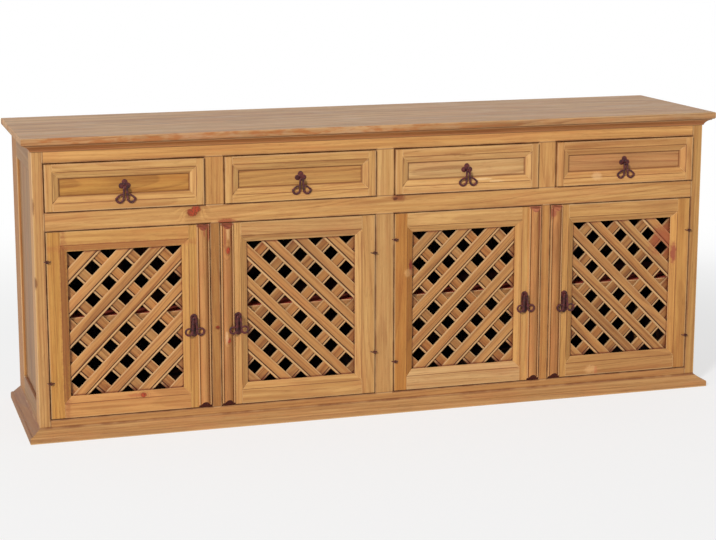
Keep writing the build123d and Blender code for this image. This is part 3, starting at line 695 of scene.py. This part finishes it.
def wax_and_shade_around_panel(finish, place):
    """Old wax and painted shade where a drawer's panel meets its frame."""
    x, z = abs(finish.axis(place, "X")), finish.axis(place, "Z")
    across = abs(x % DRAWERS_APART - DRAWERS_APART / 2) - PANEL_HALF[0]
    away = abs(across.most(abs(z - DRAWER_MIDDLE.z) - PANEL_HALF[1]))
    return (1 - away.rise(0.0008, 0.0036)) * 0.62, OLD_WAX_AND_SHADE


drawer_pine = pine(
    "drawer_pine",
    overlays=[
        wax_and_shade_in_gaps,
        wax_and_shade_around_panel,
        mark((0.202, 0.7313, 0.03, 0.0035), (146, 92, 50), 0.6),
        mark((0.232, 0.725, 0.022, 0.0025), (150, 96, 52), 0.5),
        mark((0.285, 0.656, 0.034, 0.003), (238, 200, 148), 0.7),
        mark((0.33, 0.649, 0.022, 0.0025), (236, 196, 142), 0.6),
        mark((0.64, 0.648, 0.016, 0.011), (232, 188, 136), 0.45),
    ],
)
panel_pine = pine("panel_pine", (206, 156, 92), (182, 128, 70), (124, 72, 36), contrast=0.5,
                  overlays=[wax_and_shade_around_panel])
for bay, (front_tone, panel_tone) in DRAWER_TONES.items():
    body = f"drawer_{bay}"
    frame_tones = [[part * light for part in front_tone] for light in FRAME_LIGHT]
    boards(f"{body}_front_frame", body, drawer_pine, ease=BEVEL_EASE, lines=True, tones=frame_tones)
    boards(f"{body}_front_panel", body, panel_pine, tones=(panel_tone,))
    boards(f"{body}_box", body, bare_pine, slot="inner_pine")


# ---- Doors ----
# Two stiles and two rails with a mitred bevel inside, rebated at the back for the lattice. The
# lattice is two layers of beaded slats, nailed into the rebate at right angles to each other.
# The wax has gathered where the slats meet the frame, and painted shade darkens the slats there, furthest
# over the back layer.

LATTICE_MIDDLE = middle_and_half("door_1_lattice")[0]
LATTICE_FROM_PAIR = (middle_and_half("door_2_lattice")[0].x - LATTICE_MIDDLE.x) / 2
LATTICE_HALF = (0.157, 0.199)  # half the width and height of the lattice that shows
LAYERS_MEET_Y = LATTICE_MIDDLE.y
SLATS_IN_LAYER = 8
SLAT_EASE = 0.0004
SLAT_BEAD_IN = 0.0040  # from a slat's far side to the middle of its bead
SLAT_QUIRK_IN = 0.0072  # from the same side to the quirk beside the bead
# colour of the old wax and painted shade where the slats meet the frame
SLAT_RED = (108, 46, 28)
# painted shade, with wax, in the quirk beside a slat's bead
SLAT_QUIRK_SHADE = (82, 38, 22)
SLAT_LIGHT = {1: 1.0, 2: 0.88, 3: 0.89, 4: 0.86}  # how light each door's slats are
FRONT_SLAT_TONE = (-0.06, 0.05, 0.5)  # darkest, lightest and reddest
# the back layer is darker: its own tone, and painted shade under the front layer
BACK_SLAT_TONE = (-0.26, -0.06, 1.6)
EDGE_ON = 0.3  # a slat's side faces the front by less than this
DOOR_TONES = {  # of each door's hinge stile, closing stile, bottom rail and top rail
    1: ((0.88, 0.84, 0.60), (0.86, 0.85, 0.70), (0.92, 0.86, 0.84), (0.92, 0.90, 0.80)),
    2: ((0.90, 0.94, 0.97), (0.93, 0.95, 0.95), (0.97, 1.02, 1.06), (0.87, 0.91, 1.0)),
    3: ((0.77, 0.64, 0.43), (0.93, 0.95, 0.90), (0.96, 1.08, 1.36), (0.97, 1.02, 1.08)),
    4: ((0.92, 0.87, 0.72), (0.90, 0.88, 0.80), (0.79, 0.77, 0.78), (0.93, 0.95, 0.95)),
}


def wax_and_shade_around_lattice(finish, place):
    """Old wax and painted shade where the slats meet the frame. It reaches further over the back layer."""
    x, z = abs(finish.axis(place, "X")), finish.axis(place, "Z")
    across = abs(abs(x - DOOR_PAIR_X) - LATTICE_FROM_PAIR) - LATTICE_HALF[0]
    edge = across.most(abs(z - LATTICE_MIDDLE.z) - LATTICE_HALF[1])
    behind = finish.axis(place, "Y").rise(LAYERS_MEET_Y - 0.0005, LAYERS_MEET_Y + 0.0005)
    uneven = (finish.noise(place, (60, 60, 60)) - 0.5) * 0.012
    on_back = (edge + uneven).rise(-0.026, 0.001) * behind
    on_both = (edge + uneven * 0.5).rise(-0.0075, 0.0005)
    return on_back.most(on_both) * 0.88, SLAT_RED


def slat_side(middle, direction):
    return abs(direction.y) < EDGE_ON


door_pine = pine(
    "door_pine",
    knots=[(-0.69, 0.104, 0.008, 0.0055)],
    overlays=[
        wax_and_shade_in_gaps,
        mark((-0.712, 0.105, 0.022, 0.005), (170, 84, 48), 0.5),
        # painted shade on the first door's left and top bevels
        mark((-0.898, 0.314, 0.011, 0.3), (150, 82, 50), 0.55),
        mark((-0.732, 0.524, 0.23, 0.011), (166, 92, 52), 0.5),
        mark((0.0787, 0.413, 0.0065, 0.024), (132, 46, 32), 0.92),
        mark((0.07, 0.398, 0.012, 0.012), (222, 170, 110), 0.5),
        mark((0.8972, 0.407, 0.0085, 0.03), (142, 56, 44), 0.8),
        mark((0.64, 0.0735, 0.02, 0.012), (226, 174, 116), 0.55),
        mark((0.655, 0.07, 0.006, 0.013), (196, 112, 74), 0.5),
    ],
)
slat_pine = pine(
    "slat_pine", (208, 154, 92), (182, 126, 70), (124, 68, 34), contrast=0.6,
    overlays=[
        # painted shade, with wax, in the quirk beside each slat's bead
        stripe(SLAT_QUIRK_IN, (0.0008, 0.0031), 0.85, SLAT_QUIRK_SHADE, far_only=True),
        # a painted highlight along each slat's bead
        stripe(SLAT_BEAD_IN, (0.0004, 0.0026), 0.42, PALE_WEAR_AND_HIGHLIGHT, far_only=True),
        wax_and_shade_around_lattice,
        # stain and painted shade near the top right corner of the fourth door's lattice
        mark((0.868, 0.446, 0.045, 0.045), (160, 78, 48), 0.75),
    ],
)
slat_side_pine = pine("slat_side_pine", (214, 176, 134), (190, 146, 104), (150, 104, 68), contrast=0.3,
                      overlays=[wax_and_shade_around_lattice])
for bay, door_tones in DOOR_TONES.items():
    body = f"door_{bay}"
    lean = 1 if bay in (1, 3) else -1
    draw = random.Random(f"{body} slats")

    def run_of_slat(middle, lean=lean):
        """The way a slat runs. Its bead is then at its far side."""
        side = lean if middle.y < LAYERS_MEET_Y else -lean
        return Vector((1, 0, side)).normalized()

    slat_tones = [chance_tone(draw, *FRONT_SLAT_TONE) for _ in range(SLATS_IN_LAYER)]
    slat_tones += [chance_tone(draw, *BACK_SLAT_TONE) for _ in range(SLATS_IN_LAYER)]
    slat_tones = [[part * SLAT_LIGHT[bay] for part in tone] for tone in slat_tones]
    boards(f"{body}_frame", body, door_pine, ease=BEVEL_EASE, lines=True, tones=door_tones)
    boards(f"{body}_lattice", body, slat_pine, ease=SLAT_EASE, along=run_of_slat, tones=slat_tones,
           other=slat_side_pine, is_other=slat_side)


# ---- Half rounds ----
# A wide half round between two beads is planted on the closing stile of each door. Its ends are
# sawn to a slope and stained, red above and nearly black below; the black is also painted shade
# on the downward slopes.

QUIRK_IN = 0.005  # from either side of the moulding to the quirk beside its half round
HALF_ROUND_EASE = 0.0004
END_SLOPE = 0.3  # a sawn end faces up or down by more than this

half_round_pine = pine(
    "half_round_pine", (196, 142, 83), (171, 115, 62), (120, 67, 33),
    knots=[
        (-0.4515, 0.494, 0.0055, 0.0085),
        (-0.452, 0.242, 0.0055, 0.0065),
    ],
    overlays=[
        # old wax and painted shade in the quirks
        stripe(QUIRK_IN, (0.0005, 0.0024), 0.7, OLD_WAX_AND_SHADE),
        # a painted highlight on the beads
        stripe(QUIRK_IN / 2, (0.0003, 0.0018), 0.35, PALE_WEAR_AND_HIGHLIGHT),
        mark((-0.505, 0.545, 0.0035, 0.022), (150, 66, 42), 0.75),
        mark((-0.517, 0.548, 0.003, 0.02), (158, 74, 48), 0.65),
        mark((-0.4515, 0.545, 0.0045, 0.02), (226, 176, 122), 0.6),
        mark((-0.46, 0.527, 0.0025, 0.032), (134, 62, 34), 0.7),
        mark((-0.443, 0.527, 0.0025, 0.032), (134, 62, 34), 0.7),
        mark((-0.458, 0.25, 0.004, 0.02), (222, 176, 130), 0.6),
        mark((0.468, 0.52, 0.01, 0.04), (172, 98, 66), 0.5),
        mark((0.504, 0.548, 0.012, 0.016), (138, 58, 44), 0.7),
    ],
)


def black_below(finish, place):
    """The lower ends are nearly black: staining, and painted shade where they face down."""
    return 1 - finish.axis(place, "Z").rise(0.25, 0.35), (66, 20, 18)


def sawn_end(middle, direction):
    return abs(direction.z) > END_SLOPE


end_stain_and_shade = pine("end_stain_and_shade", (150, 78, 50), (126, 58, 38), (72, 26, 20), contrast=0.8,
                 overlays=[black_below])
faded_end_stain_and_shade = pine("faded_end_stain_and_shade", (190, 120, 84), (168, 98, 66), (116, 58, 42), contrast=0.8,
                       overlays=[black_below])
for bay in range(1, 5):
    boards(f"door_{bay}_half_round", f"door_{bay}", half_round_pine, slot="half_round_pine",
           ease=HALF_ROUND_EASE, other=end_stain_and_shade if bay < 3 else faded_end_stain_and_shade, is_other=sawn_end)


# ---- Snipe hinges and pulls ----
# Blacksmith's work in mild steel, rusted and oiled to a dark reddish brown: linked eyes driven
# into post and door, thin plates with hammered faces, staples, and doubled bars that curl into
# two rings.

IRON_DARK = (52, 21, 22)
IRON_RED = (98, 38, 36)
IRON_RUBBED_AND_HIGHLIGHT = (182, 128, 118)
EYE_EASE = 0.0003
STAPLE_EASE = 0.00035


def iron(name):
    """Rusted iron, polished bright on the high places between its dents; that pale colour is also a painted
    highlight.
    """
    finish = Finish(bpy.data.materials.new(name))
    place = finish.place()
    rust = finish.noise(place, (120, 120, 120), 4, 0.65)
    dents = finish.noise(place, (260, 260, 260), 1)
    colour = finish.mix(rust.rise(0.35, 0.65), linear(IRON_DARK), linear(IRON_RED))
    colour = finish.mix(dents.rise(0.58, 0.8) * 0.35, colour, linear(IRON_RUBBED_AND_HIGHLIGHT))
    finish.shade(
        Base_Color=colour,
        Metallic=0.2 + dents.rise(0.5, 0.8) * 0.4,
        Roughness=0.38 + rust.rise(0.4, 0.7) * 0.25,
        Normal=finish.bump(dents + rust * 0.4, 0.0006, 0.8),
    )
    return finish


forged_iron = iron("forged_iron")


def add_solid(points, faces, triangles, ease):
    """Adds a CAD solid with eased edges to a mesh in the making."""
    shape = whole_faces(triangles)
    rounded(shape, ease, *EDGE_TURNS)
    start = len(points)
    shape.verts.index_update()
    points.extend(vertex.co.copy() for vertex in shape.verts)
    faces.extend([start + vertex.index for vertex in face.verts] for face in shape.faces)
    shape.free()


def add_rings(points, faces, rings):
    """Joins rings of points into a skin, with a face over each end."""
    start, count = len(points), len(rings[0])
    for ring in rings:
        points.extend(ring)
    for row in range(len(rings) - 1):
        low, high = start + row * count, start + (row + 1) * count
        for i in range(count):
            j = (i + 1) % count
            faces.append([low + i, low + j, high + j, high + i])
    faces.append(list(range(start + count - 1, start - 1, -1)))
    faces.append(list(range(start + (len(rings) - 1) * count, start + len(rings) * count)))


def iron_piece(node, body, points, faces):
    """Makes a mesh into a piece of iron in place of a CAD node."""
    mesh = bpy.data.meshes.new(node)
    mesh.from_pydata(points, [], faces)
    make_object(f"{node}_iron", body, "wrought_iron", [forged_iron], mesh, node)


def hinge_eyes(node, body):
    """The hinge eyes of a CAD node, with eased edges."""
    points, faces = [], []
    for triangles in solids(node):
        add_solid(points, faces, triangles, EYE_EASE)
    iron_piece(node, body, points, faces)


BAR_W = 0.0062  # width of a drop's bar
BAR_T = 0.0036
BAR_SIDES = 12
BAR_FULLNESS = 0.75  # of its oval section, where 1 is an ellipse and 0 a rectangle
BAR_DENT = 0.05  # most that the hammer narrows it
TAPER = 0.25  # part of its width that it has lost at the tips
TAPER_STEPS = 16  # rings of points over which it tapers
TIP_STEPS = 2.5  # rings of points over which a tip is rounded
TIP_BLUNT = 0.25  # keeps a tip from ending in a point
BEND_R = 0.0041  # of the bar's middle line in the top bend
DROP_HALF_W = 0.0285  # from the middle of a drop to the outside of either ring
SPREAD = 5.0  # degrees that each strand leans outward
BEND_STEPS, STRAND_STEPS, CURL_STEPS = 8, 6, 40
DROP_LENGTHS = {"drawer": 0.044, "door": 0.051}  # pivot to the foot of the rings
RING_SHAPES = {  # half width, half height, lean of the top to the strand, degrees of the curl
    "drawer": (0.0099, 0.0106, 0.46, 294),
    "door": (0.0092, 0.0092, 0.0, 316),
}


def arc(centre, radius, start, turn, steps):
    """Points along an arc, each with its angle in radians. start and turn are in degrees."""
    angles = [math.radians(start + turn * i / steps) for i in range(steps + 1)]
    return [(centre[0] + radius * math.cos(a), centre[1] + radius * math.sin(a), a) for a in angles]


def drop_path(length, ring_shape):
    """The right half of a drop's middle line, from the top of its bend to the tip of its curl.

    Each point has its X and Z from the pivot, and the angle of the outward side of the bar.
    """
    half_width, half_height, lean, turn = ring_shape
    strand_x = DROP_HALF_W - BAR_W / 2 - 2 * half_width
    middle_z = half_height + BAR_W / 2 - length
    line = [(x, z) for x, z, _ in arc((0, -BEND_R), BEND_R, 90, SPREAD - 90, BEND_STEPS)]
    curl = [(strand_x + half_width * (1 + x) * (1 - lean * max(0.0, z)), middle_z + half_height * z)
            for x, z, _ in arc((0, 0), 1, 180 + SPREAD, turn, CURL_STEPS)]
    (x0, z0), (x1, z1) = line[-1], curl[0]
    shares = [i / STRAND_STEPS for i in range(1, STRAND_STEPS)]
    line += [(x0 + (x1 - x0) * share, z0 + (z1 - z0) * share) for share in shares] + curl
    after, before = line[1:] + line[-1:], line[:1] + line[:-1]
    runs = [(1.0, 0.0)] + [(xb - xa, zb - za) for (xa, za), (xb, zb) in zip(before, after)][1:]
    return [(x, z, math.atan2(dz, dx) + math.pi / 2) for (x, z), (dx, dz) in zip(line, runs)]


def fuller(part):
    """The sine or cosine of an ellipse, made into that of a fuller oval."""
    return math.copysign(abs(part) ** BAR_FULLNESS, part)


def pull_drop(node, body, pivot, length, ring_shape, draw):
    """A bar of oval section, drawn out thinner towards the tips of its curls."""
    half = drop_path(length, ring_shape)
    last = len(half) - 1
    rings = []
    for side, order in ((-1, range(last, 0, -1)), (1, range(last + 1))):
        for i in order:
            x, z, outward = half[i]
            slim = 1 - TAPER * max(0.0, 1 - (last - i) / TAPER_STEPS)
            tip = math.sqrt(min(1.0, (last - i + TIP_BLUNT) / TIP_STEPS))
            dent = 1 + draw.uniform(-BAR_DENT, BAR_DENT)
            half_w = BAR_W / 2 * slim * tip * min(1, dent)
            half_t = BAR_T / 2 * min(1, 1.02 * slim ** 0.5) * tip
            ring = []
            for k in range(BAR_SIDES):
                turn = -2 * math.pi * k / BAR_SIDES
                out, back = half_w * fuller(math.cos(turn)), half_t * fuller(math.sin(turn))
                out_x, out_z = out * math.cos(outward), out * math.sin(outward)
                ring.append(pivot + Vector((side * (x + out_x), back, z + out_z)))
            rings.append(ring)
    points, faces = [], []
    add_rings(points, faces, rings)
    iron_piece(node, body, points, faces)


def lobed(lobes, tail):
    """How far the edge of a trefoil plate is from its middle in a direction.

    A lobe has its middle in X and Z and its radius, and the tail its half width and its foot.
    """
    def reach(angle):
        away = Vector((math.cos(angle), math.sin(angle)))
        best = 0.0
        for x, z, radius in lobes:
            along = away.x * x + away.y * z
            gap = x * x + z * z - radius * radius
            if along * along >= gap:
                best = max(best, along + math.sqrt(along * along - gap))
        half_width, foot = tail
        if away.y < 0:
            best = max(best, min(half_width / max(abs(away.x), 1e-6), foot / -away.y))
        return best
    return reach


def rounded_bar(half_width, top, foot):
    """How far the edge of a long plate with round ends is from its pivot in a direction."""
    def reach(angle):
        away = Vector((math.cos(angle), math.sin(angle)))
        best = half_width / max(abs(away.x), 1e-6)
        end = top - half_width if away.y > 0 else foot - half_width
        if best * abs(away.y) > end:
            along = abs(away.y) * end
            best = along + math.sqrt(along * along - end * end + half_width * half_width)
        return best
    return reach


PLATE_SIDES = 72
PLATE_DENT = 0.06  # depth of the deepest dent, as a part of the plate's thickness
PLATE_RIM = 0.95  # outside this part of its width the plate has no dents
PLATE_PROFILE = (  # parts of the width and thickness, from the back's edge to the front's middle
    (1.0, 0.0), (1.0, 0.5), (0.985, 0.7), (0.94, 0.82),
    (0.8, 0.92), (0.55, 0.98), (0.28, 1.0), (0.06, 1.0),
)


def hammered_plate(points, faces, middle, front, reach, draw):
    """A thin plate, domed by the hammer, with a thinned edge. middle is on its back face."""
    edge = [reach(2 * math.pi * i / PLATE_SIDES) for i in range(PLATE_SIDES)]
    rings = []
    for scale, rise in PLATE_PROFILE:
        ring = []
        for i in range(PLATE_SIDES):
            angle = -2 * math.pi * i / PLATE_SIDES
            dent = 0.0 if scale > PLATE_RIM else draw.uniform(0, PLATE_DENT)
            r = edge[-i] * scale
            y = middle.y - (middle.y - front) * (rise - dent)
            ring.append(Vector((middle.x + r * math.cos(angle), y, middle.z + r * math.sin(angle))))
        rings.append(ring)
    add_rings(points, faces, rings[::-1])


def back_of(triangles):
    """The furthest place of a solid in Y."""
    return max(point[1] for triangle in triangles for point in triangle)


def pull_plate(node, body, middle, reach, draw):
    """A hammered plate, and the staple through it, which ends further back."""
    plate, staple = sorted(solids(node), key=back_of)
    front = min(point[1] for triangle in plate for point in triangle)
    points, faces = [], []
    hammered_plate(points, faces, Vector((middle.x, back_of(plate), middle.z)), front, reach, draw)
    add_solid(points, faces, staple, STAPLE_EASE)
    iron_piece(node, body, points, faces)


TREFOIL_LIFT = 0.004  # middle of the trefoil above the pivot
LOBE_R = 0.0076
LOBE_OUT = 0.0086  # from the middle of the trefoil to the middle of a lobe
SIDE_LOBE_Z = -0.0015
TREFOIL_LOBES = (
    (-LOBE_OUT, SIDE_LOBE_Z, LOBE_R),
    (LOBE_OUT, SIDE_LOBE_Z, LOBE_R),
    (0, LOBE_OUT, LOBE_R),
    (0, 0, LOBE_R),
)
TAIL_HALF_W = 0.002
TAIL_FOOT = 0.015  # below the pivot
LONG_HALF_W = 0.0095
LONG_FOOT = 0.055  # below the pivot
TREFOIL = lobed(TREFOIL_LOBES, (TAIL_HALF_W, TAIL_FOOT + TREFOIL_LIFT))
LONG_PLATE = rounded_bar(LONG_HALF_W, LONG_HALF_W, LONG_FOOT)

hinge_eyes("hinge_eyes", "root")
for bay in range(1, 5):
    hinge_eyes(f"door_{bay}_hinge_eyes", f"door_{bay}")
    for kind in ("drawer", "door"):
        body = f"{kind}_{bay}"
        draw = random.Random(f"{body} iron")
        low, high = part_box(f"{body}_pull_drop")
        length = DROP_LENGTHS[kind]
        pivot = Vector(((low[0] + high[0]) / 2, (low[1] + high[1]) / 2, low[2] + length))
        lift = TREFOIL_LIFT if kind == "drawer" else 0.0
        pull_plate(f"{body}_pull_plate", body, pivot + Vector((0, 0, lift)),
                   TREFOIL if kind == "drawer" else LONG_PLATE, draw)
        pull_drop(f"{body}_pull_drop", f"{body}_pull", pivot, length, RING_SHAPES[kind], draw)


# ---- Floor and light ----
# A white floor that fades into the white around it and keeps the shadow under the cabinet. One
# large soft light stands to the front left, and the rest is even light from all around.

FLOOR_REACH = 30.0
FLOOR_Z = -0.0005  # just under the plinth
FLOOR_WHITE = (0.93, 0.93, 0.93, 1)
WHITE = (1, 1, 1, 1)
FLOOR_GLOW = 0.66  # part of the floor's white that takes no shadow
GLOW_FADE = (1.3, 3.2)  # distances from the middle over which it grows to 1
SKY_LIGHT = 0.35
KEY_PLACE = (-15.0, -16.4, 11.6)
KEY_AIM = (0, -0.2, 0.5)
KEY_SIDE = 3.3
KEY_LIGHT = 2.45  # irradiance at the point it is aimed at

floor_shape = bmesh.new()
bmesh.ops.create_grid(floor_shape, x_segments=8, y_segments=8, size=FLOOR_REACH)
floor_mesh = bpy.data.meshes.new("floor")
floor_shape.to_mesh(floor_mesh)
floor_shape.free()
floor = bpy.data.objects.new("floor", floor_mesh)
floor.location.z = FLOOR_Z
scene.collection.objects.link(floor)

floor_finish = Finish(bpy.data.materials.new("floor_white"))
from_middle = floor_finish.length(floor_finish.place())
camera_ray = floor_finish.add("ShaderNodeLightPath", {}, {}, "Is Camera Ray")
glow = floor_finish.add("ShaderNodeEmission", {}, {"Color": WHITE, "Strength": 1.0})
floor_finish.shade(Base_Color=FLOOR_WHITE, Roughness=0.9, Specular_IOR_Level=0.0)
lit = Signal(floor_finish, floor_finish.shader.outputs[0])
glowing = camera_ray * (FLOOR_GLOW + from_middle.rise(*GLOW_FADE) * (1 - FLOOR_GLOW))
mixed = floor_finish.add("ShaderNodeMixShader", {}, {0: glowing, 1: lit, 2: glow})
floor_finish.connect(floor_finish.surface, mixed)
floor_mesh.materials.append(floor_finish.owner)

scene.world = bpy.data.worlds.new("studio")
sky = Finish(scene.world)
seen = sky.add("ShaderNodeLightPath", {}, {}, "Is Camera Ray")
for ray in ("Is Glossy Ray", "Is Transmission Ray"):
    seen = seen.most(sky.add("ShaderNodeLightPath", {}, {}, ray))
sky.shade(Color=WHITE, Strength=seen * (1 - SKY_LIGHT) + SKY_LIGHT)

key_lamp = bpy.data.lights.new("key_light", "AREA")
key_lamp.shape = "SQUARE"
key_lamp.size = KEY_SIDE
to_key = Vector(KEY_PLACE) - Vector(KEY_AIM)
key_lamp.energy = KEY_LIGHT * math.pi * to_key.length_squared
key_light = bpy.data.objects.new("key_light", key_lamp)
key_light.location = KEY_PLACE
key_light.rotation_euler = to_key.to_track_quat("Z", "Y").to_euler()
scene.collection.objects.link(key_light)


# ---- Camera ----
# It stands to the left of the front, a little above the top, and looks slightly down through a
# long lens, shifted up and to the side.

CAMERA_PLACE = (-1.5045, -4.7714, 1.4228)
CAMERA_YAW = 0.28623
CAMERA_PITCH = 0.1861
CAMERA_ROLL = -0.0021
FILM_WIDTH = 36.0
FOCAL_LENGTH = 87.85
FILM_SHIFT = (0.0405, -0.0531)  # in film widths

lens = bpy.data.cameras.new("camera")
lens.sensor_width = FILM_WIDTH
lens.lens = FOCAL_LENGTH
lens.shift_x, lens.shift_y = FILM_SHIFT
camera = bpy.data.objects.new("camera", lens)
camera.matrix_world = (
    Matrix.Translation(CAMERA_PLACE)
    @ Matrix.Rotation(-CAMERA_YAW, 4, "Z")
    @ Matrix.Rotation(math.pi / 2 - CAMERA_PITCH, 4, "X")
    @ Matrix.Rotation(CAMERA_ROLL, 4, "Z")
)
scene.collection.objects.link(camera)
scene.camera = camera
scene.view_settings.view_transform = "Standard"
